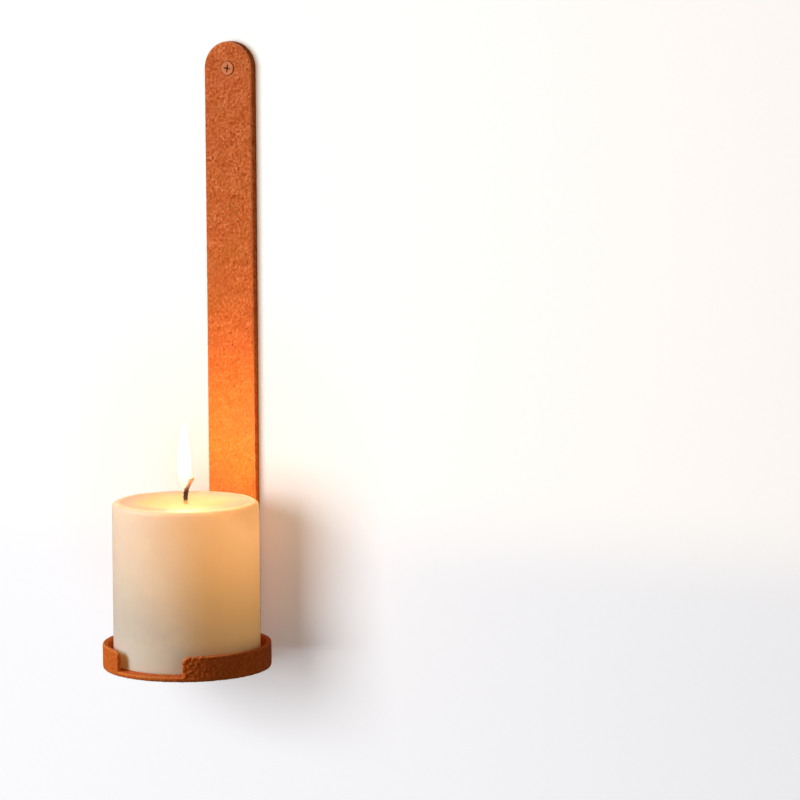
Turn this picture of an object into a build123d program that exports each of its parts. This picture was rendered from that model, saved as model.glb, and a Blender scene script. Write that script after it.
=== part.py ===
from build123d import *
import os
from math import isclose

# Wall sconce for one pillar candle: a flat iron bar screwed to the wall, bent forward at the bottom
# into a foot, with a round tray welded on the foot and a split rim band welded round the tray.
# Millimetres. Origin: screw axis where it meets the wall. +Z up, +Y into the wall, the front faces -Y.

# Flat bar
BAR_WIDTH = 28.0
BAR_THICKNESS = 5.5
BAR_EDGE_RADIUS = 0.9
SCREW_TO_TRAY = 306.0          # from the screw axis down to the underside of the tray plate
BEND_INSIDE_RADIUS = 5.0
FOOT_PAST_TRAY_CENTRE = 4.0
FOOT_CORNER_RADIUS = 5.0

# Tray and its rim band
BAR_TO_TRAY_CENTRE = 50.0      # from the bar's front face to the tray's axis
TRAY_RADIUS = 43.4
PLATE_THICKNESS = 2.6
PLATE_LOWER_EDGE_RADIUS = 1.1
RIM_THICKNESS = 2.4
RIM_HEIGHT = 10.4
RIM_GAP_HALF_ANGLE = 25.6      # degrees either side of the front
RIM_EDGE_RADIUS = 0.8
RIM_END_CORNER_RADIUS = 3.4

# Welds
RIM_WELD_LEG = 1.8
RIM_WELD_LENGTH_ANGLE = 14.0
RIM_WELD_ANGLES = (-120.0, -60.0, 0.0, 60.0, 120.0)   # from the side nearest the wall
FOOT_WELD_LEG = 3.0
FOOT_WELD_START = 12.0         # in front of the bar
FOOT_WELD_LENGTH = 36.0
WELD_CROWN = 0.62              # how far out the middle of a bead's face stands, as a share of its leg

# Countersunk cross-head wood screw, 3.5 x 40
SHANK_RADIUS = 1.75
HEAD_RADIUS = 3.6
HEAD_LAND = 0.6                # straight side of the head, which stands a little proud of the bar
HEAD_EDGE_RADIUS = 0.35
SCREW_REACH = 34.0             # tip behind the wall face
THREAD_ROOT_RADIUS = 1.2
THREAD_PITCH = 1.5
THREAD_START = 2.0
THREAD_RUN_IN = 0.5
THREAD_RISE, THREAD_CREST, THREAD_CREST_END = 0.45, 0.70, 0.75   # along one pitch
TIP_LENGTH = 4.0
RECESS_SPAN = 4.2
RECESS_ARM_WIDTH = 0.8
RECESS_DEPTH = 1.6
RECESS_TURN = 8.0              # degrees the cross is turned from upright
SHANK_CLEARANCE = 0.06
COUNTERSINK_RADIUS = 3.8
BACK_RELIEF_RADIUS = 3.3       # the hole opens out at the back, so the plug's end can't hold the bar off
BACK_RELIEF_DEPTH = 0.8

# Nylon wall plug, 6 x 30
PLUG_RADIUS = 3.0
PLUG_LENGTH = 30.0
PLUG_COLLAR = 12.0
PLUG_BORE_RADIUS = 1.8
PLUG_RIDGE_DEPTH = 0.35
PLUG_RIDGE_COUNT = 6
PLUG_RIDGE_STEP = 0.15         # where a ridge starts to rise, along its length
PLUG_NOSE = 3.0
PLUG_NOSE_RADIUS = 2.3
PLUG_SLIT_WIDTH = 0.8

# Pillar candle, 3 inches across
CANDLE_RADIUS = 38.1
CANDLE_HEIGHT = 83.6
CANDLE_SHOULDER_RADIUS = 1.8
CANDLE_FOOT_RADIUS = 0.6
MELT_RADIUS = 24.0
MELT_DEPTH = 1.4
MELT_WALL_RADIUS, MELT_WALL_DEPTH = 0.8, 0.35   # where the bowl steepens, as shares of its size
MELT_FLOOR_RADIUS = 0.35                        # flat middle of the bowl, as a share of its radius
WICK_RADIUS = 1.15
WICK_CLEARANCE = 0.05
WICK_STUB = 3.2                # straight part above the wax
WICK_BEND_RADIUS = 13.6
WICK_BEND_ANGLE = 50.0
CLIP_RADIUS = 9.5
CLIP_THICKNESS = 0.4
CLIP_COLLAR_RADIUS = 2.0
CLIP_COLLAR_HEIGHT = 3.4
CLIP_LIFT = 0.2                # the clip sits this far inside the wax base
CLIP_ROOM = 0.3

# Places that follow from the sizes above
TRAY_Y = -(BAR_THICKNESS + BAR_TO_TRAY_CENTRE)
PLATE_BOTTOM_Z = -SCREW_TO_TRAY
PLATE_TOP_Z = PLATE_BOTTOM_Z + PLATE_THICKNESS
FOOT_BOTTOM_Z = PLATE_BOTTOM_Z - BAR_THICKNESS
FOOT_END_Y = TRAY_Y - FOOT_PAST_TRAY_CENTRE
RIM_INNER_RADIUS = TRAY_RADIUS - RIM_THICKNESS
BAR_HOLE_RADIUS = SHANK_RADIUS + SHANK_CLEARANCE
HEAD_SEAT_Y = -BAR_THICKNESS + COUNTERSINK_RADIUS - HEAD_RADIUS - SHANK_CLEARANCE
HEAD_TOP_Y = HEAD_SEAT_Y - HEAD_LAND
WICK_BORE_RADIUS = WICK_RADIUS + WICK_CLEARANCE
CANDLE_TOP_Z = PLATE_TOP_Z + CANDLE_HEIGHT
CLIP_BOTTOM_Z = PLATE_TOP_Z + CLIP_LIFT

TRAY_AXIS = Axis((0, TRAY_Y, 0), (0, 0, 1))
TRAY_SECTION = Plane(origin=(0, TRAY_Y, 0), x_dir=(1, 0, 0), z_dir=(0, -1, 0))   # radius, height
SCREW_SECTION = Plane(origin=(0, 0, 0), x_dir=(1, 0, 0), z_dir=(0, 0, 1))        # radius, depth


def turned(section, points, axis, sweep=360.0):
    """Solid of revolution of a closed outline drawn on a section plane."""
    face = section * make_face(Polyline(*points, close=True))
    return revolve(face, axis, sweep)


def is_smooth_seam(edge):
    """True for the straight lines where a flat face of the bar runs smoothly into a curved one."""
    runs_across = isclose(edge.length, BAR_WIDTH) or isclose(edge.length, BAR_THICKNESS)
    return edge.geom_type == GeomType.LINE and runs_across


def make_back_bar():
    side = make_face(Polyline(
        (0, BAR_WIDTH), (-BAR_THICKNESS, BAR_WIDTH), (-BAR_THICKNESS, PLATE_BOTTOM_Z),
        (FOOT_END_Y, PLATE_BOTTOM_Z), (FOOT_END_Y, FOOT_BOTTOM_Z), (0, FOOT_BOTTOM_Z), close=True))
    inner_corner = side.vertices().sort_by_distance((-BAR_THICKNESS, PLATE_BOTTOM_Z))[0]
    side = fillet(inner_corner, BEND_INSIDE_RADIUS)
    outer_corner = side.vertices().sort_by_distance((0, FOOT_BOTTOM_Z))[0]
    side = fillet(outer_corner, BEND_INSIDE_RADIUS + BAR_THICKNESS)
    bar = extrude(Plane.YZ * side, BAR_WIDTH / 2, both=True)

    below_screw = SCREW_TO_TRAY + 2 * BAR_THICKNESS
    outline = Circle(BAR_WIDTH / 2) + Pos(0, -below_screw / 2) * Rectangle(BAR_WIDTH, below_screw)
    bar = bar & extrude(Plane.XZ * outline, -FOOT_END_Y)

    foot_corners = bar.edges().filter_by(Axis.Z).group_by(Axis.Y)[0]
    bar = fillet(foot_corners, FOOT_CORNER_RADIUS)
    bar = fillet(bar.edges().filter_by(is_smooth_seam, reverse=True), BAR_EDGE_RADIUS)

    seat_depth = COUNTERSINK_RADIUS - BAR_HOLE_RADIUS
    hole = turned(SCREW_SECTION, (
        (0, -BAR_THICKNESS - 1), (COUNTERSINK_RADIUS, -BAR_THICKNESS - 1),
        (COUNTERSINK_RADIUS, -BAR_THICKNESS), (BAR_HOLE_RADIUS, -BAR_THICKNESS + seat_depth),
        (BAR_HOLE_RADIUS, -BACK_RELIEF_DEPTH), (BACK_RELIEF_RADIUS, 0), (BACK_RELIEF_RADIUS, 1), (0, 1)),
        Axis.Y)
    return bar - hole


def make_tray_plate():
    plate = Pos(0, TRAY_Y, (PLATE_BOTTOM_Z + PLATE_TOP_Z) / 2) * Cylinder(TRAY_RADIUS, PLATE_THICKNESS)
    lower_edge = plate.edges().group_by(Axis.Z)[0]
    return fillet(lower_edge, PLATE_LOWER_EDGE_RADIUS)


def make_tray_rim():
    band = turned(TRAY_SECTION, (
        (RIM_INNER_RADIUS, PLATE_TOP_Z), (TRAY_RADIUS, PLATE_TOP_Z),
        (TRAY_RADIUS, PLATE_TOP_Z + RIM_HEIGHT), (RIM_INNER_RADIUS, PLATE_TOP_Z + RIM_HEIGHT)),
        TRAY_AXIS, 360.0 - 2 * RIM_GAP_HALF_ANGLE)
    band = band.rotate(TRAY_AXIS, RIM_GAP_HALF_ANGLE - 90.0)
    top_edges = band.edges().group_by(Axis.Z)[-1]
    band = fillet(top_edges.filter_by(GeomType.LINE), RIM_END_CORNER_RADIUS)
    top_arcs = band.edges().filter_by(GeomType.CIRCLE).group_by(Axis.Z)[-1]
    return fillet(top_arcs, RIM_EDGE_RADIUS)


def make_rim_weld_beads():
    inner_foot = (RIM_INNER_RADIUS - RIM_WELD_LEG, PLATE_TOP_Z)
    crown_out = WELD_CROWN * RIM_WELD_LEG
    crown = (RIM_INNER_RADIUS - crown_out, PLATE_TOP_Z + crown_out)
    upper_toe = (RIM_INNER_RADIUS, PLATE_TOP_Z + RIM_WELD_LEG)
    beads = []
    for angle in RIM_WELD_ANGLES:
        bead = turned(TRAY_SECTION, ((RIM_INNER_RADIUS, PLATE_TOP_Z), inner_foot, crown, upper_toe),
                      TRAY_AXIS, RIM_WELD_LENGTH_ANGLE)
        beads.append(bead.rotate(TRAY_AXIS, 90.0 + angle - RIM_WELD_LENGTH_ANGLE / 2))
    return Compound(children=beads)


def make_foot_weld_beads():
    start = -BAR_THICKNESS - FOOT_WELD_START
    beads = []
    for side in (-1, 1):
        foot_side = side * BAR_WIDTH / 2
        toe = side * FOOT_WELD_LEG
        section = Plane(origin=(foot_side, start, PLATE_BOTTOM_Z), x_dir=(1, 0, 0), z_dir=(0, -1, 0))
        crown = (WELD_CROWN * toe, -WELD_CROWN * FOOT_WELD_LEG)
        outline = Polyline((0, 0), (toe, 0), crown, (0, -FOOT_WELD_LEG), close=True)
        beads.append(extrude(section * make_face(outline), FOOT_WELD_LENGTH))
    return Compound(children=beads)


def thread_outline(start, end, crest, root, pitch):
    """Points down a ridged shank: each ridge rises from the root to the crest and back."""
    points = []
    depth = start
    while depth + pitch <= end:
        points.append((root, depth))
        points.append((root, depth + THREAD_RISE * pitch))
        points.append((crest, depth + THREAD_CREST * pitch))
        points.append((crest, depth + THREAD_CREST_END * pitch))
        depth += pitch
    points.append((root, depth))
    return points


def make_wall_screw():
    tip_start = SCREW_REACH - TIP_LENGTH
    outline = [(0, HEAD_TOP_Y), (HEAD_RADIUS, HEAD_TOP_Y), (HEAD_RADIUS, HEAD_SEAT_Y)]
    outline.append((SHANK_RADIUS, HEAD_SEAT_Y + HEAD_RADIUS - SHANK_RADIUS))
    outline.append((SHANK_RADIUS, THREAD_START))
    first_ridge = THREAD_START + THREAD_RUN_IN
    outline += thread_outline(first_ridge, tip_start, SHANK_RADIUS, THREAD_ROOT_RADIUS, THREAD_PITCH)
    outline.append((0, SCREW_REACH))
    screw = turned(SCREW_SECTION, outline, Axis.Y)
    head_edge = screw.edges().filter_by(GeomType.CIRCLE).group_by(Axis.Y)[0]
    screw = fillet(head_edge, HEAD_EDGE_RADIUS)

    arm = Box(RECESS_SPAN, 2 * RECESS_DEPTH, RECESS_ARM_WIDTH)
    cross = arm + Rot(0, 90, 0) * arm
    taper = turned(SCREW_SECTION, (
        (0, -RECESS_DEPTH), (RECESS_SPAN, -RECESS_DEPTH), (RECESS_SPAN / 2, 0),
        (RECESS_ARM_WIDTH / 2, RECESS_DEPTH), (0, RECESS_DEPTH)), Axis.Y)
    recess = Pos(0, HEAD_TOP_Y, 0) * Rot(0, RECESS_TURN, 0) * (cross & taper)
    return screw - recess


def make_wall_plug():
    ridge = (PLUG_LENGTH - PLUG_NOSE - PLUG_COLLAR) / PLUG_RIDGE_COUNT
    outline = [(PLUG_BORE_RADIUS, 0), (PLUG_RADIUS, 0), (PLUG_RADIUS, PLUG_COLLAR)]
    for index in range(PLUG_RIDGE_COUNT):
        start = PLUG_COLLAR + index * ridge
        outline.append((PLUG_RADIUS - PLUG_RIDGE_DEPTH, start + PLUG_RIDGE_STEP * ridge))
        outline.append((PLUG_RADIUS, start + ridge))
    outline.append((PLUG_NOSE_RADIUS, PLUG_LENGTH))
    outline.append((PLUG_BORE_RADIUS, PLUG_LENGTH))
    plug = turned(SCREW_SECTION, outline, Axis.Y)

    slit_length = PLUG_LENGTH - PLUG_COLLAR
    slit = Pos(0, PLUG_COLLAR + slit_length / 2 + 1, 0) * Box(4 * PLUG_RADIUS, slit_length, PLUG_SLIT_WIDTH)
    return plug - slit - Rot(0, 90, 0) * slit


def make_candle_wax():
    pocket_top = CLIP_BOTTOM_Z + CLIP_THICKNESS + CLIP_ROOM
    collar_top = CLIP_BOTTOM_Z + CLIP_COLLAR_HEIGHT + CLIP_ROOM
    melt_floor = CANDLE_TOP_Z - MELT_DEPTH
    body = make_face(Polyline(
        (0, PLATE_TOP_Z), (CANDLE_RADIUS, PLATE_TOP_Z), (CANDLE_RADIUS, CANDLE_TOP_Z), (0, CANDLE_TOP_Z),
        close=True))
    top_corner = body.vertices().sort_by_distance((CANDLE_RADIUS, CANDLE_TOP_Z))[0]
    body = fillet(top_corner, CANDLE_SHOULDER_RADIUS)
    foot_corner = body.vertices().sort_by_distance((CANDLE_RADIUS, PLATE_TOP_Z))[0]
    body = fillet(foot_corner, CANDLE_FOOT_RADIUS)
    wax = revolve(TRAY_SECTION * body, TRAY_AXIS)

    melt_edge = (MELT_RADIUS, CANDLE_TOP_Z)
    melt_wall = (MELT_WALL_RADIUS * MELT_RADIUS, CANDLE_TOP_Z - MELT_WALL_DEPTH * MELT_DEPTH)
    melt_bowl = turned(TRAY_SECTION, (
        (0, CANDLE_TOP_Z + 1), (MELT_RADIUS, CANDLE_TOP_Z + 1), melt_edge, melt_wall,
        (MELT_FLOOR_RADIUS * MELT_RADIUS, melt_floor), (0, melt_floor)), TRAY_AXIS)
    wick_and_clip_room = turned(TRAY_SECTION, (
        (0, PLATE_TOP_Z - 1), (CLIP_RADIUS + CLIP_ROOM, PLATE_TOP_Z - 1),
        (CLIP_RADIUS + CLIP_ROOM, pocket_top), (CLIP_COLLAR_RADIUS + CLIP_ROOM, pocket_top),
        (CLIP_COLLAR_RADIUS + CLIP_ROOM, collar_top), (WICK_BORE_RADIUS, collar_top),
        (WICK_BORE_RADIUS, CANDLE_TOP_Z + 1), (0, CANDLE_TOP_Z + 1)), TRAY_AXIS)
    return wax - melt_bowl - wick_and_clip_room


def make_candle_wick():
    bottom = CLIP_BOTTOM_Z + CLIP_THICKNESS
    bend_start = CANDLE_TOP_Z - MELT_DEPTH + WICK_STUB
    straight = Line((0, bottom), (0, bend_start))
    bend = JernArc((0, bend_start), (0, 1), WICK_BEND_RADIUS, -WICK_BEND_ANGLE)
    path = TRAY_SECTION * (straight + bend)
    section = Plane(origin=(0, TRAY_Y, bottom), z_dir=(0, 0, 1)) * Circle(WICK_RADIUS)
    return sweep(section, path)


def make_wick_clip():
    top = CLIP_BOTTOM_Z + CLIP_THICKNESS
    collar_top = CLIP_BOTTOM_Z + CLIP_COLLAR_HEIGHT
    return turned(TRAY_SECTION, (
        (0, CLIP_BOTTOM_Z), (CLIP_RADIUS, CLIP_BOTTOM_Z), (CLIP_RADIUS, top), (CLIP_COLLAR_RADIUS, top),
        (CLIP_COLLAR_RADIUS, collar_top), (WICK_BORE_RADIUS, collar_top), (WICK_BORE_RADIUS, top), (0, top)),
        TRAY_AXIS)


NODES = {
    "back_bar": make_back_bar,
    "tray_plate": make_tray_plate,
    "tray_rim": make_tray_rim,
    "rim_weld_beads": make_rim_weld_beads,
    "foot_weld_beads": make_foot_weld_beads,
    "wall_screw": make_wall_screw,
    "wall_plug": make_wall_plug,
    "candle_wax": make_candle_wax,
    "candle_wick": make_candle_wick,
    "wick_clip": make_wick_clip,
}

os.makedirs("parts", exist_ok=True)
for name, make in NODES.items():
    export_step(make(), os.path.join("parts", name + ".step"))
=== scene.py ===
import math

import bmesh
import bpy
from mathutils import Matrix, Vector, noise


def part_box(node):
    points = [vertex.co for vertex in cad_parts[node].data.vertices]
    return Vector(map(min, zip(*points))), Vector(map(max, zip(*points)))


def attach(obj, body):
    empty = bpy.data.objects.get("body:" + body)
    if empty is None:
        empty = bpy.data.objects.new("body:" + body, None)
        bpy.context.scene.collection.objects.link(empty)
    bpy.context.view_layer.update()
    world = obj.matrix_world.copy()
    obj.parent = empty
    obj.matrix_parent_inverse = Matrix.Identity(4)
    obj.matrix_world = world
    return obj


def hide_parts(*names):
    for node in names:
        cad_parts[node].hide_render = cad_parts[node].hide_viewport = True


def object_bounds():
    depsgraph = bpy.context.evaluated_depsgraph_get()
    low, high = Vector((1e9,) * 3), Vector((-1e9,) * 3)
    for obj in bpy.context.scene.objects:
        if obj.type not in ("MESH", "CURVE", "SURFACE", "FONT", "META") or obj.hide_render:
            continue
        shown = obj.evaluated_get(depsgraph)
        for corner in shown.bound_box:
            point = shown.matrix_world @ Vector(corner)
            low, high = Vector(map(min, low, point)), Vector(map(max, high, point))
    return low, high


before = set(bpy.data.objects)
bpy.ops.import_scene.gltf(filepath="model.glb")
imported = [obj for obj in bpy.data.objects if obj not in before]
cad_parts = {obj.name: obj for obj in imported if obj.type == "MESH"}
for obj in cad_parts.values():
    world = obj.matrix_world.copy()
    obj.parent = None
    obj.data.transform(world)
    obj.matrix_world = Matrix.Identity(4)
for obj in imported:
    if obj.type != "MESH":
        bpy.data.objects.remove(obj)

# Looks of the wall sconce: rust-coated iron, a lit pillar candle, the wall behind it and soft studio light.
# Metres, in the frame of the CAD model: origin on the wall at the screw, +Z up, +Y into the wall.

CAD_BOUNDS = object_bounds()
MM = 0.001

# Places read from the CAD frame
PLATE_LOW, PLATE_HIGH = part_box("tray_plate")
RIM_LOW, RIM_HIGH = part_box("tray_rim")
WAX_LOW, WAX_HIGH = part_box("candle_wax")
WICK_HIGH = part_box("candle_wick")[1]
SCREW_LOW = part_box("wall_screw")[0]
TRAY_CENTRE = Vector((0.0, (PLATE_LOW.y + PLATE_HIGH.y) / 2, PLATE_LOW.z))
WICK_ROOT = Vector((0.0, TRAY_CENTRE.y, WAX_HIGH.z))
CANDLE_RADIUS = (WAX_HIGH.x - WAX_LOW.x) / 2

# The bar is this thick, and what stands further forward than FOOT_FRONT is foot or tray
BAR_THICKNESS = 5.5 * MM
FOOT_FRONT = -BAR_THICKNESS - 0.5 * MM

# Camera: where it stands round the tray, how it is turned (degrees) and its lens
CAMERA_DISTANCE = 1.782
CAMERA_AZIMUTH = 29.13
CAMERA_ELEVATION = 11.40
CAMERA_TURN = 25.51
CAMERA_PITCH = 7.01
CAMERA_ROLL = -0.23
CAMERA_LENS = 154.5
CAMERA_SENSOR = 36.0


# ---------------------------------------------------------------- mesh helpers

ON_AXIS = 1e-7


def new_object(name, mesh):
    piece = bpy.data.objects.new(name, mesh)
    bpy.context.scene.collection.objects.link(piece)
    return piece


def mesh_from(name, vertices, faces):
    mesh = bpy.data.meshes.new(name)
    mesh.from_pydata([tuple(v) for v in vertices], [], faces)
    shade_smooth(mesh)
    mesh.update()
    return mesh


def shade_smooth(mesh):
    mesh.polygons.foreach_set("use_smooth", [True] * len(mesh.polygons))


def applied(piece):
    """Bakes the piece's modifiers into its mesh."""
    bpy.context.view_layer.update()
    evaluated = piece.evaluated_get(bpy.context.evaluated_depsgraph_get())
    mesh = bpy.data.meshes.new_from_object(evaluated)
    piece.modifiers.clear()
    piece.data = mesh
    return piece


def lathe(name, profile, centre, segments, wobble=None):
    """Turns (radius, height) points about an upright axis through centre; points on it close the mesh."""
    middle = Vector((centre.x, centre.y, 0))
    vertices, rings = [], []
    for radius, height in profile:
        ring = []
        for step in range(segments if radius > ON_AXIS else 1):
            angle = 2 * math.pi * step / segments
            point = Vector((radius * math.cos(angle), radius * math.sin(angle), height))
            if wobble and radius > ON_AXIS:
                point = wobble(point, radius, angle)
            ring.append(len(vertices))
            vertices.append(point + middle)
        rings.append(ring)
    faces = []
    for low, high in zip(rings, rings[1:]):
        faces += faces_between(low, high, segments)
    return mesh_from(name, vertices, faces)


def faces_between(low, high, segments):
    """Quads between two rings, or triangles where one of them is a single point."""
    faces = []
    for step in range(segments):
        after = (step + 1) % segments
        if len(low) == 1:
            faces.append((low[0], high[after], high[step]))
        elif len(high) == 1:
            faces.append((low[step], low[after], high[0]))
        else:
            faces.append((low[step], low[after], high[after], high[step]))
    return faces


def clamped(value):
    return min(1.0, max(0.0, value))


# ---------------------------------------------------------------- node helpers

class Nodes:
    """A material's node tree, with short calls to add and join nodes."""

    def __init__(self, name):
        self.material = bpy.data.materials.new(name)
        self.material.use_nodes = True
        self.tree = self.material.node_tree
        self.tree.nodes.clear()
        self.output = self.add("ShaderNodeOutputMaterial")
        self.place = self.add("ShaderNodeTexCoord").outputs["Object"]

    def add(self, kind, **settings):
        node = self.tree.nodes.new(kind)
        for key, value in settings.items():
            setattr(node, key, value)
        return node

    def join(self, source, target):
        self.tree.links.new(source, target)

    def set(self, socket, value):
        """Links a socket's value, or sets a constant one."""
        if hasattr(value, "node"):
            self.join(value, socket)
        elif socket.type == "RGBA":
            socket.default_value = (*value, 1.0)
        else:
            socket.default_value = value

    def attribute(self, name):
        return self.add("ShaderNodeAttribute", attribute_name=name).outputs["Fac"]

    def noise(self, scale, detail=3.0, roughness=0.55):
        node = self.add("ShaderNodeTexNoise")
        node.inputs["Scale"].default_value = scale
        node.inputs["Detail"].default_value = detail
        node.inputs["Roughness"].default_value = roughness
        self.join(self.place, node.inputs["Vector"])
        return node.outputs["Fac"]

    def cells(self, scale):
        node = self.add("ShaderNodeTexVoronoi", feature="F1")
        node.inputs["Scale"].default_value = scale
        self.join(self.place, node.inputs["Vector"])
        return node.outputs["Distance"]

    def ramp(self, value, stops, smooth=True):
        """A colour ramp; a stop's colour is three numbers, or one number for a grey."""
        node = self.add("ShaderNodeValToRGB")
        node.color_ramp.interpolation = "EASE" if smooth else "LINEAR"
        elements = node.color_ramp.elements
        while len(elements) < len(stops):
            elements.new(0.5)
        for element, (position, colour) in zip(elements, stops):
            element.position = position
            element.color = (*colour, 1.0) if hasattr(colour, "__len__") else (colour, colour, colour, 1.0)
        self.join(value, node.inputs["Fac"])
        return node.outputs["Color"]

    def mix(self, factor, first, second, mode="MIX"):
        node = self.add("ShaderNodeMix", data_type="RGBA", blend_type=mode)
        colours = [socket for socket in node.inputs if socket.type == "RGBA"]
        self.set(node.inputs[0], factor)
        self.set(colours[0], first)
        self.set(colours[1], second)
        return [socket for socket in node.outputs if socket.type == "RGBA"][0]

    def maths(self, operation, first, second=None, clamp=False):
        node = self.add("ShaderNodeMath", operation=operation, use_clamp=clamp)
        self.set(node.inputs[0], first)
        if second is not None:
            self.set(node.inputs[1], second)
        return node.outputs["Value"]

    def share_along(self, letter, start, length):
        """How far a point lies along an axis: 0 at start, 1 from start + length on."""
        node = self.add("ShaderNodeSeparateXYZ")
        self.join(self.place, node.inputs["Vector"])
        return self.maths("DIVIDE", self.maths("SUBTRACT", node.outputs[letter], start), length, clamp=True)

    def share_from(self, centre, reach):
        """How far a point lies from a centre: 0 there, 1 from reach on."""
        node = self.add("ShaderNodeVectorMath", operation="DISTANCE")
        self.join(self.place, node.inputs[0])
        node.inputs[1].default_value = tuple(centre)
        return self.maths("DIVIDE", node.outputs["Value"], reach, clamp=True)

    def centred(self, value, swing):
        """A 0 to 1 pattern as a shift either side of zero."""
        return self.maths("MULTIPLY", self.maths("SUBTRACT", value, 0.5), swing)

    def bump(self, height, strength, distance, below=None):
        node = self.add("ShaderNodeBump")
        node.inputs["Strength"].default_value = strength
        node.inputs["Distance"].default_value = distance
        self.join(height, node.inputs["Height"])
        if below is not None:
            self.join(below, node.inputs["Normal"])
        return node.outputs["Normal"]

    def principled(self, links, **constants):
        """The main shader: links are looked-up sockets, constants are set on the shader itself."""
        node = self.add("ShaderNodeBsdfPrincipled")
        for key, value in constants.items():
            node.inputs[key.replace("_", " ")].default_value = value
        for key, socket in links.items():
            self.join(socket, node.inputs[key.replace("_", " ")])
        self.join(node.outputs["BSDF"], self.output.inputs["Surface"])
        return node

    def blend(self, factor, first, second):
        """Makes the surface a mix of two shaders."""
        node = self.add("ShaderNodeMixShader")
        self.set(node.inputs["Fac"], factor)
        self.join(first, node.inputs[1])
        self.join(second, node.inputs[2])
        self.join(node.outputs["Shader"], self.output.inputs["Surface"])


def paint(piece, material):
    piece.data.materials.clear()
    piece.data.materials.append(material)


# ---------------------------------------------------------------- coating and screw paint

PIT_RED = (0.42, 0.060, 0.004)
RUST_RED = (0.62, 0.112, 0.010)
RUST_ORANGE = (0.74, 0.155, 0.020)
PALE_ORANGE = (0.88, 0.255, 0.080)
LOW_BAR_ORANGE = (0.70, 0.148, 0.014)
PALE_GRAIN = (0.86, 0.30, 0.12)
DARK_GRAIN = (0.30, 0.045, 0.006)
OCHRE_PATCH = (0.58, 0.160, 0.012)
RED_PATCH = (0.70, 0.105, 0.030)
# Pale edge colour: wear and a painted highlight where light catches rounded edges
WORN_HIGHLIT_EDGE = (0.88, 0.35, 0.19)
HOLE_BROWN = (0.22, 0.030, 0.003)
TRAY_TINT = (1.0, 0.86, 0.40)
# Painted shade for the bar's narrow sides next to the wall
SIDE_PAINTED_SHADE = (0.17, 0.030, 0.004)


def coating_material():
    """Rust-orange textured coating: red pits, pale worn high spots and slow patches of ochre and red; rounded
    edges made pale by wear and a painted highlight, and painted shade on the bar's narrow sides.
    """
    n = Nodes("rust_coating")
    grain = n.noise(900.0, detail=4.0, roughness=0.62)
    speckle = n.noise(1700.0, detail=2.0, roughness=0.5)
    relief = n.maths("ADD", n.maths("MULTIPLY", n.attribute("coat"), 0.62), n.maths("MULTIPLY", grain, 0.38))
    base = coating_patches(n, coating_grain(n, relief, speckle))
    holes = coating_holes(n)
    base = n.mix(n.maths("MULTIPLY", holes, 0.75), base, HOLE_BROWN)
    tray = n.share_along("Z", RIM_HIGH.z + 12.0 * MM, -10.0 * MM)
    base = n.mix(tray, base, TRAY_TINT, "MULTIPLY")
    # Painted shade on the bar's narrow sides, deepest next to the wall
    base = n.mix(side_painted_shade(n), base, SIDE_PAINTED_SHADE)
    roughness = n.ramp(relief, [(0.3, 0.80), (0.7, 0.52)])
    normal = n.bump(grain, 0.55, 0.35 * MM)
    normal = n.bump(speckle, 0.35, 0.15 * MM, normal)
    normal = n.bump(n.maths("SUBTRACT", 1.0, holes), 0.6, 0.3 * MM, normal)
    n.principled({"Base_Color": base, "Roughness": roughness, "Normal": normal}, Specular_IOR_Level=0.26)
    return n.material


def coating_grain(n, relief, speckle):
    """Red in the pits, orange on top, calmer low on the bar, with pale and dark specks."""
    base = n.ramp(relief, [(0.26, PIT_RED), (0.42, RUST_RED), (0.56, RUST_ORANGE), (0.74, PALE_ORANGE)])
    rise = n.share_along("Z", WAX_HIGH.z, 200.0 * MM)
    base = n.mix(n.ramp(rise, [(0.10, 0.50), (0.65, 0.0)]), base, LOW_BAR_ORANGE)
    base = n.mix(n.ramp(speckle, [(0.62, 0.0), (0.78, 0.30)]), base, PALE_GRAIN)
    return n.mix(n.ramp(speckle, [(0.24, 0.45), (0.38, 0.0)]), base, DARK_GRAIN)


def coating_patches(n, base):
    """Slow ochre and red patches, and rounded edges made pale by wear and a painted highlight."""
    patches = n.noise(75.0, detail=3.0, roughness=0.6)
    tint = n.noise(38.0, detail=2.0, roughness=0.5)
    base = n.mix(n.ramp(patches, [(0.42, 0.0), (0.70, 0.40)]), base, OCHRE_PATCH)
    base = n.mix(n.ramp(tint, [(0.48, 0.0), (0.72, 0.35)]), base, RED_PATCH)
    # Rounded edges turn pale: wear and a painted highlight
    return n.mix(n.ramp(n.attribute("worn_and_highlit"), [(0.0, 0.0), (1.0, 0.65)]), base, WORN_HIGHLIT_EDGE)


def coating_holes(n):
    """Sparse round pinholes, in loose groups."""
    holes = n.ramp(n.cells(330.0), [(0.10, 1.0), (0.20, 0.0)])
    groups = n.ramp(n.noise(110.0, detail=2.0), [(0.50, 0.0), (0.62, 1.0)])
    return n.maths("MULTIPLY", holes, groups)


def side_painted_shade(n):
    """Painted shade on the bar's narrow sides, darker towards the wall, where the wall would shade them."""
    facing = n.add("ShaderNodeSeparateXYZ")
    n.join(n.add("ShaderNodeNewGeometry").outputs["Normal"], facing.inputs["Vector"])
    sideways = n.ramp(n.maths("ABSOLUTE", facing.outputs["X"]), [(0.80, 0.0), (0.97, 1.0)])
    depth = n.share_along("Y", -BAR_THICKNESS, BAR_THICKNESS)
    return n.maths("MULTIPLY", sideways, n.ramp(depth, [(0.40, 0.0), (0.80, 0.60)]))


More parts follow.
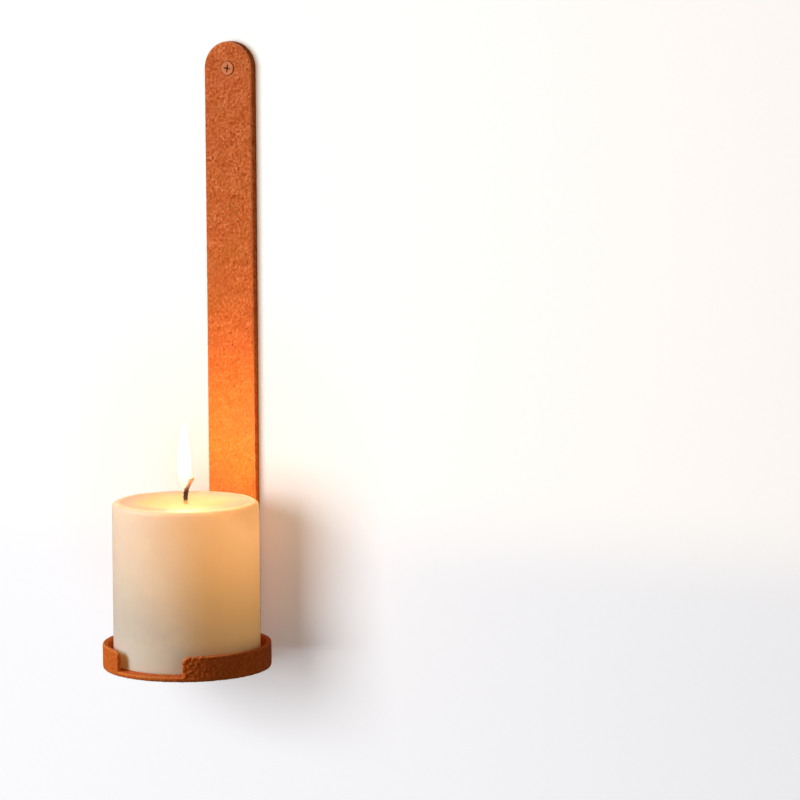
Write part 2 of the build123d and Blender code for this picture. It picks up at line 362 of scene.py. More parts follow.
def screw_material():
    """The same paint, smoother on the turned head, with painted shade down in the recess."""
    n = Nodes("screw_paint")
    patches = n.noise(900.0, detail=3.0, roughness=0.6)
    base = n.ramp(patches, [(0.3, (0.72, 0.195, 0.050)), (0.65, (0.82, 0.255, 0.080))])
    # Painted shade: darker the deeper a surface lies behind the head's face
    sunk = n.share_along("Y", SCREW_LOW.y, 0.6 * MM)
    base = n.mix(n.ramp(sunk, [(0.25, 0.0), (0.95, 0.85)]), base, (0.22, 0.052, 0.014))
    roughness = n.ramp(patches, [(0.3, 0.46), (0.7, 0.36)])
    normal = n.bump(patches, 0.25, 0.12 * MM)
    n.principled({"Base_Color": base, "Roughness": roughness, "Normal": normal}, Specular_IOR_Level=0.3)
    return n.material


def nylon_material():
    """Grey moulded nylon with faint flow marks."""
    n = Nodes("grey_nylon")
    flow = n.noise(260.0, detail=3.0, roughness=0.5)
    base = n.ramp(flow, [(0.3, (0.36, 0.37, 0.38)), (0.7, (0.46, 0.47, 0.48))])
    normal = n.bump(n.noise(2200.0, detail=2.0), 0.2, 0.08 * MM)
    n.principled({"Base_Color": base, "Roughness": n.ramp(flow, [(0.3, 0.5), (0.7, 0.38)]), "Normal": normal})
    return n.material


def tin_material():
    """Thin tinned sheet, finely brushed."""
    n = Nodes("tinned_steel")
    brushed = n.noise(1800.0, detail=3.0, roughness=0.6)
    base = n.ramp(brushed, [(0.3, (0.60, 0.60, 0.58)), (0.7, (0.78, 0.77, 0.74))])
    roughness = n.ramp(brushed, [(0.3, 0.42), (0.7, 0.28)])
    normal = n.bump(brushed, 0.2, 0.05 * MM)
    n.principled({"Base_Color": base, "Roughness": roughness, "Normal": normal}, Metallic=1.0)
    return n.material


# ---------------------------------------------------------------- wax, wick and flame materials

IVORY_DEEP = (0.54, 0.57, 0.535)
IVORY = (0.64, 0.64, 0.585)
IVORY_FROST = (0.72, 0.71, 0.66)
WAX_TOP = (0.33, 0.235, 0.35)
WAX_MELTING = (0.30, 0.215, 0.205)
SUBSURFACE_REACH = 9.0 * MM

# Warm light inside the wax: where it is brightest, how far it reaches and its colours on the way out
GLOW_CENTRE = Vector((24.0 * MM, TRAY_CENTRE.y, WAX_HIGH.z))
GLOW_REACH = 100.0 * MM
GLOW_COLOURS = [(0.0, (0.60, 0.22, 0.035)), (0.21, (0.86, 0.36, 0.095)), (0.40, (0.62, 0.26, 0.050)),
                (0.55, (0.44, 0.185, 0.028)), (0.75, (0.24, 0.105, 0.016)), (1.0, (0.13, 0.060, 0.010))]
SHADED_GLOW = (0.02, 0.009, 0.003)


def wax_material():
    """Ivory paraffin, yellower where it is melting; the flame's warm light glows out through it."""
    n = Nodes("ivory_wax")
    cloud = n.noise(42.0, detail=4.0, roughness=0.55)
    frost = n.noise(420.0, detail=4.0, roughness=0.6)
    roughness = n.ramp(frost, [(0.3, 0.50), (0.7, 0.38)])
    normal = n.bump(frost, 0.12, 0.25 * MM)
    normal = n.bump(cloud, 0.25, 0.8 * MM, normal)
    links = {"Base_Color": wax_colour(n, cloud, frost), "Emission_Color": wax_glow(n, cloud),
             "Roughness": roughness, "Normal": normal}
    shader = n.principled(links, Emission_Strength=1.0, Subsurface_Weight=1.0,
                          Subsurface_Scale=SUBSURFACE_REACH, Specular_IOR_Level=0.35)
    shader.inputs["Subsurface Radius"].default_value = (1.0, 0.55, 0.28)
    return n.material


def wax_colour(n, cloud, frost):
    """Cloudy ivory with a little frost; darker on the top, where the flame lights it strongly."""
    base = n.ramp(cloud, [(0.35, IVORY_DEEP), (0.65, IVORY)])
    base = n.mix(n.ramp(frost, [(0.60, 0.0), (0.80, 0.15)]), base, IVORY_FROST)
    from_wick = n.share_from(WICK_ROOT, CANDLE_RADIUS)
    base = n.mix(n.ramp(from_wick, [(0.84, 1.0), (0.97, 0.0)]), base, WAX_TOP)
    uneven = n.maths("ADD", from_wick, n.centred(cloud, 0.25))
    return n.mix(n.ramp(uneven, [(0.45, 1.0), (0.85, 0.0)]), base, WAX_MELTING)


def wax_glow(n, cloud):
    """Light from the flame inside the wax, weak where the closed part of the rim shades its foot."""
    uneven = n.maths("ADD", n.share_from(GLOW_CENTRE, GLOW_REACH), n.centred(cloud, 0.10))
    glow = n.ramp(uneven, GLOW_COLOURS, smooth=False)
    above_rim = n.share_along("Z", RIM_HIGH.z - 5.0 * MM, 12.0 * MM)
    closed_side = n.share_along("X", 4.0 * MM, 20.0 * MM)
    open_glow = n.maths("MAXIMUM", above_rim, n.maths("SUBTRACT", 1.0, closed_side))
    return n.mix(n.ramp(open_glow, [(0.0, 0.25), (1.0, 1.0)]), SHADED_GLOW, glow)


def melt_material():
    """Clear melted wax: only its wet shine near the wick shows over the wax below."""
    n = Nodes("melted_wax")
    ripple = n.noise(140.0, detail=2.0, roughness=0.5)
    normal = n.bump(ripple, 0.12, 0.3 * MM)
    clear = n.add("ShaderNodeBsdfTransparent")
    n.join(n.ramp(ripple, [(0.3, (1.0, 1.0, 0.985)), (0.7, (1.0, 1.0, 1.0))]), clear.inputs["Color"])
    shine = n.add("ShaderNodeBsdfGlossy")
    shine.inputs["Roughness"].default_value = 0.08
    n.join(normal, shine.inputs["Normal"])
    weight = n.add("ShaderNodeFresnel")
    weight.inputs["IOR"].default_value = 1.30
    n.join(normal, weight.inputs["Normal"])
    near_wick = n.ramp(n.share_from(WICK_ROOT, CANDLE_RADIUS), [(0.25, 0.22), (0.62, 0.0)])
    fade = n.maths("MULTIPLY", weight.outputs["Fac"], near_wick)
    n.blend(fade, clear.outputs["BSDF"], shine.outputs["BSDF"])
    return n.material


def wick_material():
    """Charred cotton: waxy and pale at the root, black above it, glowing towards the tip."""
    n = Nodes("charred_wick")
    root = WAX_HIGH.z - 1.0 * MM
    rise = n.share_along("Z", root, WICK_HIGH.z - root)
    fibre = n.noise(2600.0, detail=3.0, roughness=0.6)
    char = n.ramp(fibre, [(0.35, (0.012, 0.008, 0.007)), (0.70, (0.070, 0.040, 0.030))])
    base = n.mix(n.ramp(rise, [(0.02, 1.0), (0.16, 0.0)]), char, (0.80, 0.50, 0.28))
    base = n.mix(n.ramp(rise, [(0.45, 0.0), (0.75, 1.0)]), base, (0.42, 0.13, 0.05))
    ember = n.ramp(rise, [(0.38, (0.0, 0.0, 0.0)), (0.62, (0.36, 0.09, 0.022)), (0.82, (0.80, 0.26, 0.075)),
                          (1.0, (0.72, 0.24, 0.09))])
    ember = n.mix(n.ramp(fibre, [(0.35, 0.45), (0.6, 0.0)]), ember, (0.16, 0.03, 0.008))
    normal = n.bump(fibre, 0.5, 0.12 * MM)
    n.principled({"Base_Color": base, "Normal": normal, "Emission_Color": ember}, Roughness=0.85,
                 Emission_Strength=1.0)
    return n.material


def flame_material(name, low, high, strength, cover):
    """One thin shell of the flame: mostly clear, it adds its own light to what is behind it."""
    n = Nodes(name)
    rise = n.share_along("Z", FLAME_BASE, FLAME_TOP - FLAME_BASE)
    light = n.add("ShaderNodeEmission")
    light.inputs["Strength"].default_value = strength
    n.join(n.ramp(rise, [(0.0, low), (0.28, high), (1.0, high)]), light.inputs["Color"])
    clear = n.add("ShaderNodeBsdfTransparent")
    n.blend(cover, clear.outputs["BSDF"], light.outputs["Emission"])
    return n.material


# ---------------------------------------------------------------- coated iron pieces

# Bumps a metre in the coating, where each pattern starts, and the height that lies on the CAD surface
GRAINS = 900.0
WORMS, WORMS_FROM, WORM_SHARPNESS = 760.0, Vector((2.0, 9.0, 4.0)), 3.6
SWELLS, SWELLS_FROM = 170.0, Vector((7.0, 3.0, 1.0))
PEBBLES, PEBBLES_FROM = 820.0, Vector((5.0, 1.0, 8.0))
UPRIGHT_STRETCH = 0.80
COAT_LEVEL = 0.60
JOINED = 1e-6

# An edge gets wear and a painted highlight as its normal turns away from both faces, by this cosine and over
# this range
EDGE_MARK_START, EDGE_MARK_RANGE = 0.97, 0.12

# The rim's right end is rough: where (degrees round the tray from the front), how far, and how much
ROUGH_FROM, ROUGH_MIDDLE, ROUGH_SPREAD = 20.0, 26.0, 22.0
RIM_SHARE, ROUGH_SHARE, ROUGH_ELSEWHERE = 0.55, 0.95, 0.25


def coat_height(point):
    """Height of the coating at a point, from 0 (deepest pit) to 1: pebbly on the tray, wormy on the bar."""
    drawn = Vector((point.x, point.y, point.z * UPRIGHT_STRETCH))
    grains = noise.noise(drawn * GRAINS)
    if point.y < FOOT_FRONT:
        pebbles = noise.noise(point * PEBBLES + PEBBLES_FROM)
        return clamped(0.60 + 0.70 * pebbles + 0.15 * grains)
    worms = max(0.0, 1.0 - abs(noise.noise(drawn * WORMS + WORMS_FROM)) * WORM_SHARPNESS)
    swell = noise.noise(point * SWELLS + SWELLS_FROM)
    return clamped(0.64 + 0.46 * grains + 0.16 * swell - 0.40 * worms ** 1.5)


def edge_wear_and_highlight(point, normal):
    """Share of wear and painted highlight: 1 on rounded edges, where the normal points between two faces, and
    0 on the faces.
    """
    across = normal.y if point.y > FOOT_FRONT else normal.z
    flat = max(abs(across), math.sqrt(max(0.0, 1.0 - across * across)))
    return clamped((EDGE_MARK_START - flat) / EDGE_MARK_RANGE)


def close_screw_hole(bm):
    """Removes the screw hole's walls and caps both ends, so that the hole can be cut again cleanly."""
    reach = 4.0 * MM
    inside = [f for f in bm.faces if all(math.hypot(v.co.x, v.co.z) < reach for v in f.verts)]
    bmesh.ops.delete(bm, geom=inside, context="FACES")
    loose = [v for v in bm.verts if not v.link_faces]
    bmesh.ops.delete(bm, geom=loose, context="VERTS")
    bmesh.ops.holes_fill(bm, edges=[e for e in bm.edges if e.is_boundary], sides=0)


def even_copy(node, name, voxel, prepare):
    """A copy of a CAD piece's surface, made again from small even faces."""
    bm = bmesh.new()
    bm.from_mesh(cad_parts[node].data)
    bmesh.ops.remove_doubles(bm, verts=bm.verts, dist=JOINED)
    if prepare:
        prepare(bm)
    bmesh.ops.recalc_face_normals(bm, faces=bm.faces)
    mesh = bpy.data.meshes.new(name)
    bm.to_mesh(mesh)
    bm.free()
    piece = new_object(name, mesh)
    remesh = piece.modifiers.new("remesh", "REMESH")
    remesh.mode = "VOXEL"
    remesh.voxel_size = voxel
    return applied(piece)


def coated(node, name, voxel, depth, share_at=None, prepare=None):
    """A copy of a CAD piece with the coating's bumps as real geometry about the CAD surface."""
    piece = even_copy(node, name, voxel, prepare)
    mesh = piece.data
    # Every place is read before any is written: a write would make Blender work out all the normals again
    places = [(vertex.co.copy(), vertex.normal.copy()) for vertex in mesh.vertices]
    heights, moved, worn_and_highlit = [], [], []
    for point, normal in places:
        height = coat_height(point)
        share = share_at(point, normal) if share_at else 1.0
        heights.append(height)
        # Each point's share of edge wear and painted highlight
        worn_and_highlit.append(edge_wear_and_highlight(point, normal))
        moved.extend(point + normal * (depth * share * (height - COAT_LEVEL)))
    mesh.vertices.foreach_set("co", moved)
    mesh.attributes.new("coat", "FLOAT", "POINT").data.foreach_set("value", heights)
    mesh.attributes.new("worn_and_highlit", "FLOAT", "POINT").data.foreach_set("value", worn_and_highlit)
    shade_smooth(mesh)
    mesh.update()
    paint(piece, COATING)
    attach(piece, "sconce")
    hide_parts(node)
    return piece


def screw_hole_cutter():
    """Countersink, hole and back relief as one turned solid along the screw's axis."""
    mouth, hole, relief, relief_depth = 3.8 * MM, 1.81 * MM, 3.3 * MM, 0.8 * MM
    front = -BAR_THICKNESS
    profile = [(0, front - MM), (mouth, front - MM), (mouth, front), (hole, front + mouth - hole),
               (hole, -relief_depth), (relief, 0.0), (relief, MM), (0, MM)]
    mesh = lathe("cutter", profile, Vector((0, 0, 0)), 96)
    mesh.transform(Matrix.Rotation(math.radians(-90), 4, "X"))
    return new_object("cutter", mesh)


def bar_share(point, normal):
    """Coating left off at the screw's seat, and thinner on the bar's narrow sides than on its face."""
    from_screw = math.hypot(point.x, point.z)
    near = clamped((from_screw - 4.0 * MM) / (2.0 * MM))
    return near * (0.40 + 0.60 * abs(normal.y) ** 3 if point.y > FOOT_FRONT else 1.0)


def make_back_bar():
    piece = coated("back_bar", "back_bar_coated", 0.50 * MM, 0.40 * MM, bar_share, close_screw_hole)
    cutter = screw_hole_cutter()
    cut = piece.modifiers.new("hole", "BOOLEAN")
    cut.operation = "DIFFERENCE"
    cut.solver = "MANIFOLD"
    cut.object = cutter
    applied(piece)
    bpy.data.objects.remove(cutter)
    shade_smooth(piece.data)


def rim_share(point, normal):
    """Coarse where the rim's right end was cut and hammered, smoother elsewhere, flat on its foot."""
    if normal.z < -0.7 and point.z < RIM_LOW.z + 0.5 * MM:
        return 0.0
    azimuth = math.degrees(math.atan2(point.x, TRAY_CENTRE.y - point.y))
    rough = ROUGH_ELSEWHERE
    if azimuth > ROUGH_FROM:
        rough = math.exp(-((azimuth - ROUGH_MIDDLE) / ROUGH_SPREAD) ** 2)
    return RIM_SHARE + ROUGH_SHARE * rough


def make_tray():
    coated("tray_plate", "tray_plate_coated", 0.62 * MM, 0.30 * MM)
    rim = coated("tray_rim", "tray_rim_coated", 0.36 * MM, 0.46 * MM, rim_share)
    # The rim's foot is pushed into the plate, so that the coating runs over the joint with no open seam
    for vertex in rim.data.vertices:
        if vertex.co.z < RIM_LOW.z + 0.9 * MM:
            vertex.co.z -= 0.7 * MM
    rim.data.update()


def make_welds():
    coated("rim_weld_beads", "rim_weld_beads_coated", 0.22 * MM, 0.30 * MM)
    coated("foot_weld_beads", "foot_weld_beads_coated", 0.26 * MM, 0.45 * MM)


# ---------------------------------------------------------------- wax

WAX_FOOT_RADIUS = 0.8 * MM
WAX_SHOULDER_RADIUS = 2.4 * MM
WAX_SIDE_STEPS = 64
WAX_TOP_STEPS = 26
MELT_DEPTH = 1.4 * MM
MELT_LEVEL = WAX_HIGH.z - 0.62 * MM
MELT_EDGE_RADIUS = 30.0 * MM
MELT_LIP = 0.16 * MM

# The melt bowl's wall runs between these distances in from the candle's side
BOWL_START, BOWL_MIDDLE = 3.0 * MM, 8.0 * MM

# How far the poured wax falls short of a true cylinder: side, shoulder, foot, and the shoulder downwards
SIDE_UNEVEN, SHOULDER_UNEVEN, FOOT_UNEVEN, SHOULDER_DROP = 0.22 * MM, 0.35 * MM, 0.15 * MM, 0.16 * MM


def wax_profile():
    """(radius, height) from the middle of the base, up the side, over the shoulder and into the melt bowl."""
    low, high = WAX_LOW.z, WAX_HIGH.z
    foot, shoulder = WAX_FOOT_RADIUS, WAX_SHOULDER_RADIUS
    profile = [(0.0, low), (10.0 * MM, low), (22.0 * MM, low), (32.0 * MM, low)]
    for step in range(7):
        angle = math.radians(-90 + 15 * step)
        profile.append((CANDLE_RADIUS - foot + foot * math.cos(angle), low + foot + foot * math.sin(angle)))
    for step in range(1, WAX_SIDE_STEPS):
        share = step / WAX_SIDE_STEPS
        profile.append((CANDLE_RADIUS, low + foot + share * (high - low - foot - shoulder)))
    for step in range(11):
        angle = math.radians(9 * step)
        profile.append((CANDLE_RADIUS - shoulder + shoulder * math.cos(angle),
                        high - shoulder + shoulder * math.sin(angle)))
    for step in range(1, WAX_TOP_STEPS):
        radius = (CANDLE_RADIUS - shoulder) * (1 - step / WAX_TOP_STEPS)
        profile.append((radius, high - bowl_depth(radius)))
    profile.append((0.0, high - MELT_DEPTH))
    return profile


def bowl_depth(radius):
    """How far the candle's top has sunk at a radius."""
    share = clamped((CANDLE_RADIUS - BOWL_START - radius) / (CANDLE_RADIUS - BOWL_MIDDLE))
    return MELT_DEPTH * share * share * (3 - 2 * share)


def wax_wobble(point, radius, angle):
    """Hand-poured unevenness: the side swells a little, the shoulder and the foot are not quite round."""
    near_top = max(0.0, 1.0 - (WAX_HIGH.z - point.z) / (6.0 * MM))
    near_top *= clamped((radius - 28.0 * MM) / (6.0 * MM))
    near_foot = max(0.0, 1.0 - (point.z - WAX_LOW.z) / (3.0 * MM))
    around = Vector((math.cos(angle), math.sin(angle), 0.0))
    slow = 1.0 + noise.noise(around * 1.6 + Vector((0.0, 0.0, point.z * 22.0)))
    quick = 1.0 + noise.noise(around * 5.0 + Vector((0.0, 0.0, 4.0 + point.z * 60.0)))
    sunk = SIDE_UNEVEN * slow + near_top * SHOULDER_UNEVEN * quick + near_foot * FOOT_UNEVEN * quick
    share = 1.0 - sunk / CANDLE_RADIUS
    return Vector((point.x * share, point.y * share, point.z - near_top * SHOULDER_DROP * quick))


def make_wax():
    mesh = lathe("candle_wax_body", wax_profile(), TRAY_CENTRE, 224, wax_wobble)
    piece = new_object("candle_wax_body", mesh)
    paint(piece, WAX)
    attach(piece, "candle")
    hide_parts("candle_wax")


def make_melt_pool():
    """A flat disc of melted wax that climbs the bowl's wall a little at its edge."""
    rings = 22
    profile = [(0.0, MELT_LEVEL)]
    for step in range(1, rings + 1):
        share = step / rings
        profile.append((MELT_EDGE_RADIUS * share, MELT_LEVEL + MELT_LIP * share ** 6))
    mesh = lathe("melted_wax", profile[::-1], TRAY_CENTRE, 160)
    piece = new_object("melted_wax", mesh)
    paint(piece, MELT)
    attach(piece, "candle")


# ---------------------------------------------------------------- wick and flame

WICK_BEND_RADIUS = 13.6 * MM
WICK_BEND_ANGLE = math.radians(50.0)
WICK_RADIUS = 1.15 * MM
WICK_SUNK = 4.0 * MM

# The braid: strands, turns up the wick, and each strand's place and size as shares of the wick's radius
STRANDS, STRAND_SIDES, STRAND_RINGS, BRAID_TURNS = 3, 12, 90, 3.2
STRAND_OFFSET, STRAND_RADIUS, STRAND_ROUGHNESS = 0.50, 0.60, 0.16
TAPER_FROM, TAPER = 0.82, 0.55

FLAME_BASE = WAX_HIGH.z + 5.4 * MM
FLAME_TOP = WAX_HIGH.z + 44.5 * MM
FLAME_RADIUS = 3.75 * MM
FLAME_CENTRE = TRAY_CENTRE + Vector((-0.6 * MM, 0.0, 0.0))
FLAME_OUTLINE = [(0.0, 0.0), (0.04, 0.62), (0.12, 0.90), (0.24, 1.0), (0.42, 0.99), (0.60, 0.82),
                 (0.78, 0.54), (0.90, 0.27), (1.0, 0.0)]
FLAME_RINGS, FLAME_SEGMENTS, FLAME_SOFTENING = 48, 48, 0.03
FLAME_TIP_INSET = 2.2          # a shell's top is inset by this many times its base's inset
# Each shell: share of the full width, inset of its base, colour low and high, strength, cover
FLAME_SHELLS = [
    (1.45, 0.0, (1.0, 0.92, 0.66), (1.0, 0.98, 0.88), 1.0, 0.05),
    (1.15, 0.0, (1.0, 0.92, 0.62), (1.0, 0.98, 0.86), 1.0, 0.12),
    (1.0, 0.3 * MM, (1.0, 0.93, 0.62), (1.0, 0.99, 0.90), 1.05, 0.30),
    (0.90, 0.7 * MM, (1.0, 0.96, 0.66), (1.0, 1.0, 0.97), 1.1, 0.50),
    (0.78, 1.3 * MM, (1.0, 0.98, 0.72), (1.0, 1.0, 1.0), 1.25, 0.75),
]


def wick_line(count):
    """Points and turns up the wick: straight out of the wax, then bent over towards +X."""
    root = WAX_HIGH.z - MELT_DEPTH - WICK_SUNK
    bend = WICK_HIGH.z - (WICK_RADIUS + WICK_BEND_RADIUS) * math.sin(WICK_BEND_ANGLE)
    straight = bend - root
    length = straight + WICK_BEND_RADIUS * WICK_BEND_ANGLE
    line = []
    for step in range(count):
        share = step / (count - 1)
        along = length * share
        turn = max(0.0, along - straight) / WICK_BEND_RADIUS
        x = WICK_BEND_RADIUS * (1 - math.cos(turn))
        z = min(along, straight) + root + WICK_BEND_RADIUS * math.sin(turn)
        line.append((Vector((x, TRAY_CENTRE.y, z)), turn, share))
    return line


def strand_points(strand):
    """Rings of points up one strand, which winds round the wick and thins towards the burnt tip."""
    points = []
    depth = Vector((0, 1, 0))
    for centre, turn, share in wick_line(STRAND_RINGS):
        across = Vector((math.cos(turn), 0, -math.sin(turn)))
        taper = 1.0 - TAPER * max(0.0, (share - TAPER_FROM) / (1.0 - TAPER_FROM)) ** 2
        twist = 2 * math.pi * (share * BRAID_TURNS + strand / STRANDS)
        offset = STRAND_OFFSET * WICK_RADIUS * taper
        heart = centre + across * (offset * math.cos(twist)) + depth * (offset * math.sin(twist))
        for side in range(STRAND_SIDES):
            angle = 2 * math.pi * side / STRAND_SIDES
            rough = noise.noise(Vector((strand * 9.0 + side * 0.7, share * 30.0, 2.0)))
            radius = STRAND_RADIUS * WICK_RADIUS * taper * (1.0 + STRAND_ROUGHNESS * rough)
            points.append(heart + across * (radius * math.cos(angle)) + depth * (radius * math.sin(angle)))
    return points


def strand_faces(first):
    """Faces of one strand, whose points start at index first, with both ends closed."""
    faces = []
    for ring in range(STRAND_RINGS - 1):
        for side in range(STRAND_SIDES):
            a = first + ring * STRAND_SIDES + side
            b = first + ring * STRAND_SIDES + (side + 1) % STRAND_SIDES
            faces.append((a, b, b + STRAND_SIDES, a + STRAND_SIDES))
    last = first + (STRAND_RINGS - 1) * STRAND_SIDES
    faces.append(tuple(first + side for side in reversed(range(STRAND_SIDES))))
    faces.append(tuple(last + side for side in range(STRAND_SIDES)))
    return faces


def make_wick():
    """Twisted cotton strands, thinner and frayed towards the burnt tip."""
    vertices, faces = [], []
    for strand in range(STRANDS):
        faces += strand_faces(len(vertices))
        vertices += strand_points(strand)
    piece = new_object("candle_wick_braid", mesh_from("candle_wick_braid", vertices, faces))
    paint(piece, WICK)
    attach(piece, "candle")
    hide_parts("candle_wick")


def flame_width(share):
    """Width of the flame from its base (0) to its tip (1): blunt below, drawn out to a point."""
    for (low, width), (high, next_width) in zip(FLAME_OUTLINE, FLAME_OUTLINE[1:]):
        if share <= high:
            blend = (share - low) / (high - low)
            return width + (next_width - width) * blend
    return 0.0


def flame_profile(size, inset):
    """(radius, height) up one shell of the flame, its outline softened over nearby heights."""
    base, top = FLAME_BASE + inset, FLAME_TOP - FLAME_TIP_INSET * inset
    profile = []
    for step in range(FLAME_RINGS + 1):
        share = step / FLAME_RINGS
        near = [flame_width(clamped(share + shift)) for shift in (-FLAME_SOFTENING, 0.0, FLAME_SOFTENING)]
        profile.append((FLAME_RADIUS * size * sum(near) / 3, base + (top - base) * share))
    profile[0], profile[-1] = (0.0, base), (0.0, top)
    return profile


def make_flame():
    """Nested clear shells that add up to a white heart with a soft yellow edge."""
    for index, (size, inset, low, high, strength, cover) in enumerate(FLAME_SHELLS):
        name = "flame_shell_%d" % index
        piece = new_object(name, lathe(name, flame_profile(size, inset), FLAME_CENTRE, FLAME_SEGMENTS))
        paint(piece, flame_material(name, low, high, strength, cover))
        piece.visible_shadow = False
        piece.visible_diffuse = False
        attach(piece, "candle")


# ---------------------------------------------------------------- CAD pieces that keep their shape

def finish_cad_pieces():
    for node, material in (("wall_screw", screw_material()), ("wall_plug", nylon_material()),
                           ("wick_clip", tin_material())):
        paint(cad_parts[node], material)


# ---------------------------------------------------------------- stage

WALL_Y = 0.4 * MM
WALL_TOP = 2.0
FLOOR_Z = -1.1
FLOOR_FRONT = -4.0
STAGE_HALF_WIDTH = 3.0
COVE_RADIUS, COVE_STEPS = 0.35, 16

# The cream glow painted round the flame on the wall, and the wall's own light from the screw (0) to the floor
# (1): a painted glow near the candle's top and a painted shadow band beside the candle
HALO_CENTRE = Vector((-16.0 * MM, 0.0, WAX_HIGH.z + 6.0 * MM))
HALO_REACH = 110.0 * MM
HALO_COLOURS = [(0.0, (1.0, 0.80, 0.62)), (0.32, (1.0, 0.885, 0.835)), (1.0, (1.0, 0.985, 0.99))]
WALL_LIGHT = [(0.19, (0.36, 0.290, 0.210)), (0.245, (0.235, 0.197, 0.174)), (0.42, (0.265, 0.230, 0.207)),
              (0.95, (0.82, 0.82, 0.82))]


def stage_material():
    """Bright white plaster with a faint cream glow painted round the flame and a painted shadow beside the
    candle.

    Its back is clear, so that the wall doesn't hide the sconce from behind.
    """
    n = Nodes("white_plaster")
    grain = n.noise(900.0, detail=3.0, roughness=0.6)
    base = n.ramp(grain, [(0.3, (0.785, 0.835, 0.885)), (0.7, (0.805, 0.855, 0.905))])
    # Painted glow: the base turns cream round the flame
    halo = n.ramp(n.share_from(HALO_CENTRE, HALO_REACH), HALO_COLOURS, smooth=False)
    base = n.mix(1.0, base, halo, "MULTIPLY")
    # The wall's own light, with a painted glow by the candle's top and a painted shadow lower beside it
    own = n.ramp(n.share_along("Z", 0.0, FLOOR_Z), WALL_LIGHT)
    links = {"Base_Color": base, "Normal": n.bump(grain, 0.1, 0.2 * MM), "Emission_Color": own}
    plaster = n.principled(links, Roughness=0.9, Specular_IOR_Level=0.1, Emission_Strength=1.0)
    clear = n.add("ShaderNodeBsdfTransparent")
    behind = n.add("ShaderNodeNewGeometry").outputs["Backfacing"]
    n.blend(behind, plaster.outputs["BSDF"], clear.outputs["BSDF"])
    return n.material


def make_stage():
    """A wall just behind the bar, curving into a floor well below the sconce, as one sheet."""
    outline = [(WALL_Y, WALL_TOP), (WALL_Y, FLOOR_Z + COVE_RADIUS)]
    for step in range(1, COVE_STEPS + 1):
        angle = math.pi / 2 * step / COVE_STEPS
        forward, above = COVE_RADIUS * (1 - math.cos(angle)), COVE_RADIUS * (1 - math.sin(angle))
        outline.append((WALL_Y - forward, FLOOR_Z + above))
    outline.append((FLOOR_FRONT, FLOOR_Z))
    vertices, faces = [], []
    for y, z in outline:
        vertices += [(-STAGE_HALF_WIDTH, y, z), (STAGE_HALF_WIDTH, y, z)]
    for row in range(len(outline) - 1):
        a = 2 * row
        faces.append((a, a + 2, a + 3, a + 1))
    wall = new_object("wall_and_floor", mesh_from("wall_and_floor", vertices, faces))
    paint(wall, stage_material())
    wall.visible_diffuse = False
    wall.visible_glossy = False
    wall.visible_transmission = False
    wall.visible_shadow = False
    return wall


# ---------------------------------------------------------------- light and camera

# Soft boxes round the middle of the object: degrees, metres, watts
KEY = dict(azimuth=-47.0, elevation=20.0, distance=1.9, size=0.9, energy=35.0, colour=(1.0, 0.99, 0.98))
SIDE = dict(azimuth=78.0, elevation=6.0, distance=1.2, size=0.5, energy=1.5, colour=(1.0, 0.72, 0.45))
BACKDROP = dict(azimuth=-15.0, elevation=5.0, distance=1.6, size=1.08, energy=25.9, colour=(1.0, 1.0, 1.0))
EDGE = dict(azimuth=75.0, elevation=8.0, distance=1.2, size=0.5, energy=1.6, colour=(1.0, 0.62, 0.20))

# The candle's light sent back at the bar's side by what stands to its right
BOUNCE = dict(azimuth=90.0, elevation=0.0, distance=0.10, size=0.06, energy=0.04, colour=(1.0, 0.50, 0.06))
BOUNCE_PLACE = Vector((95.0 * MM, -18.0 * MM, WAX_HIGH.z + 5.0 * MM))

FLAME_LIGHT_PLACE = WICK_ROOT + Vector((0.0, 0.0, 26.0 * MM))
FLAME_LIGHT_ENERGY, FLAME_LIGHT_RADIUS, FLAME_LIGHT_COLOUR = 0.155, 4.5 * MM, (1.0, 0.75, 0.30)

# The world is bright where the camera sees it and faint as a light
WORLD_AS_LIGHT, WORLD_AS_SEEN = 0.07, 0.93


def towards(azimuth, elevation):
    """Unit vector from the object to a viewer or lamp: azimuth 0 is in front, 90 to the right."""
    a, e = math.radians(azimuth), math.radians(elevation)
    return Vector((math.sin(a) * math.cos(e), -math.cos(a) * math.cos(e), math.sin(e)))


def area_light(name, azimuth, elevation, distance, size, energy, colour):
    """A square soft box round the middle of the object."""
    low, high = CAD_BOUNDS
    away = towards(azimuth, elevation)
    lamp = bpy.data.lights.new(name, "AREA")
    lamp.energy, lamp.size, lamp.color = energy, size, colour
    holder = new_object(name, lamp)
    holder.location = (low + high) / 2 + away * distance
    holder.rotation_euler = (-away).to_track_quat("-Z", "Y").to_euler()
    holder.visible_camera = False
    return holder


def flame_light():
    lamp = bpy.data.lights.new("flame_light", "POINT")
    lamp.energy = FLAME_LIGHT_ENERGY
    lamp.shadow_soft_size = FLAME_LIGHT_RADIUS
    lamp.color = FLAME_LIGHT_COLOUR
    flame = new_object("flame_light", lamp)
    flame.location = FLAME_LIGHT_PLACE
    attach(flame, "candle")
    return flame


def lights_only(name, lamps, receivers):
    """Lets the lamps light only the given objects."""
    group = bpy.data.collections.new(name)
    for receiver in receivers:
        group.objects.link(receiver)
    for lamp in lamps:
        lamp.light_linking.receiver_collection = group


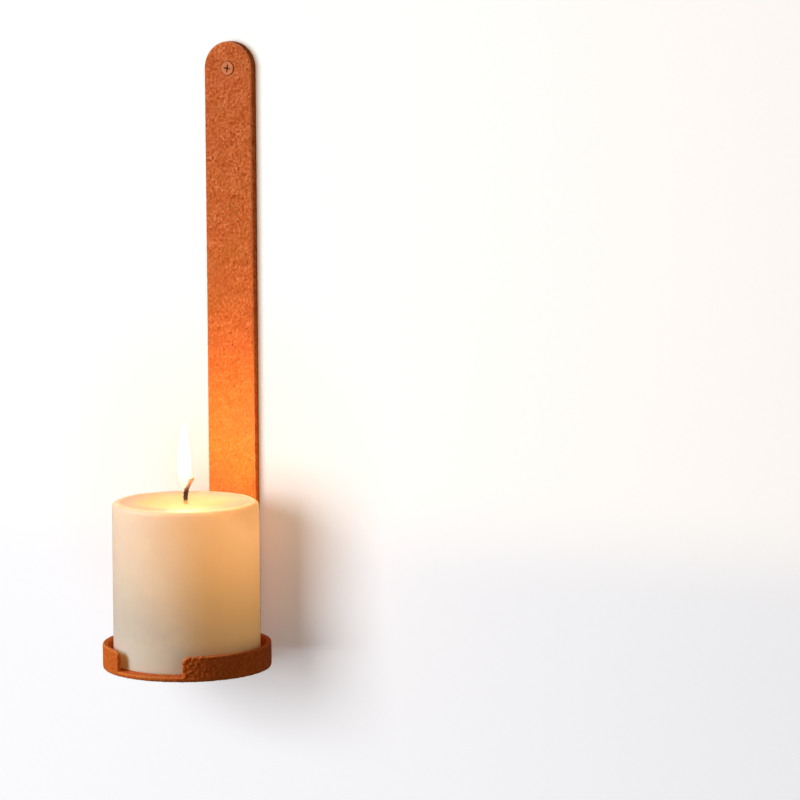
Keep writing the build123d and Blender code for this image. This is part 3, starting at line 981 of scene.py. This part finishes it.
def make_light(wall):
    key = area_light("key", **KEY)
    side = area_light("side", **SIDE)
    backdrop = area_light("backdrop", **BACKDROP)
    flame = flame_light()
    bounce = area_light("bounce", **BOUNCE)
    bounce.location = BOUNCE_PLACE
    edge = area_light("edge", **EDGE)
    pieces = [thing for thing in bpy.context.scene.objects if thing.type == "MESH" and thing != wall]
    bar = [thing for thing in pieces if thing.name.startswith("back_bar")]
    lights_only("lit_pieces", (key, side, flame), pieces)
    lights_only("lit_bar", (bounce, edge), bar)
    lights_only("lit_wall", (backdrop,), (wall,))


def make_world():
    """Even white surroundings, brighter to the camera than as a light."""
    world = bpy.data.worlds.new("studio")
    world.use_nodes = True
    nodes, links = world.node_tree.nodes, world.node_tree.links
    background = nodes["Background"]
    path = nodes.new("ShaderNodeLightPath")
    seen = nodes.new("ShaderNodeMapRange")
    seen.inputs["To Min"].default_value = WORLD_AS_LIGHT
    seen.inputs["To Max"].default_value = WORLD_AS_SEEN
    links.new(path.outputs["Is Camera Ray"], seen.inputs["Value"])
    links.new(seen.outputs["Result"], background.inputs["Strength"])
    background.inputs["Color"].default_value = (1.0, 1.0, 1.0, 1.0)
    bpy.context.scene.world = world
    bpy.context.scene.view_settings.view_transform = "Standard"


def make_camera():
    away = towards(CAMERA_AZIMUTH, CAMERA_ELEVATION)
    data = bpy.data.cameras.new("camera")
    data.lens = CAMERA_LENS
    data.sensor_width = CAMERA_SENSOR
    data.clip_start, data.clip_end = 0.05, 50.0
    camera = new_object("camera", data)
    turn, pitch = math.radians(CAMERA_TURN), math.radians(CAMERA_PITCH)
    roll = Matrix.Rotation(math.radians(CAMERA_ROLL), 4, "Z")
    facing = Matrix.Rotation(turn, 4, "Z") @ Matrix.Rotation(math.pi / 2 - pitch, 4, "X")
    camera.matrix_world = Matrix.Translation(TRAY_CENTRE + away * CAMERA_DISTANCE) @ facing @ roll
    bpy.context.scene.camera = camera


# ---------------------------------------------------------------- the scene

COATING = coating_material()
WAX = wax_material()
MELT = melt_material()
WICK = wick_material()

make_camera()
WALL = make_stage()
make_back_bar()
make_tray()
make_welds()
make_wax()
make_melt_pool()
make_wick()
make_flame()
finish_cad_pieces()
make_light(WALL)
make_world()
